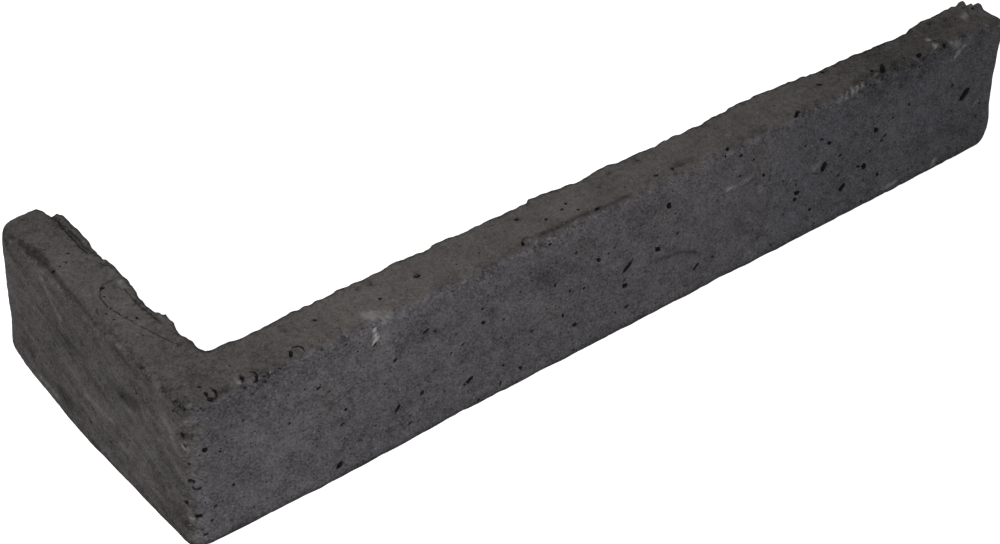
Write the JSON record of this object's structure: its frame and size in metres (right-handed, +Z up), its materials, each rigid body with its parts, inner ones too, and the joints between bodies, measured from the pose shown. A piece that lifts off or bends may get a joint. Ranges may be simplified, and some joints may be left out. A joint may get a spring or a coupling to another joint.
{
  "type": "brick corner slip",
  "caption": "L-shaped decorative brick corner slip of charcoal cast concrete, to be glued round the outside corner of a wall.",
  "frame": {"origin": "middle of the bounding footprint, on the floor that the slip stands on", "axes": "+X along the long leg, away from the outer corner; +Y along the short leg, away from the outer corner; +Z up, from the lower bed to the upper bed"},
  "size_m": [0.2898, 0.0898, 0.051],
  "materials": {
    "charcoal_cast_concrete": "matt, as cast against a soft mould, with air-bubble pits"
  },
  "bodies": {
    "root": {"corner_slip": "charcoal_cast_concrete"}
  },
  "joints": []
}
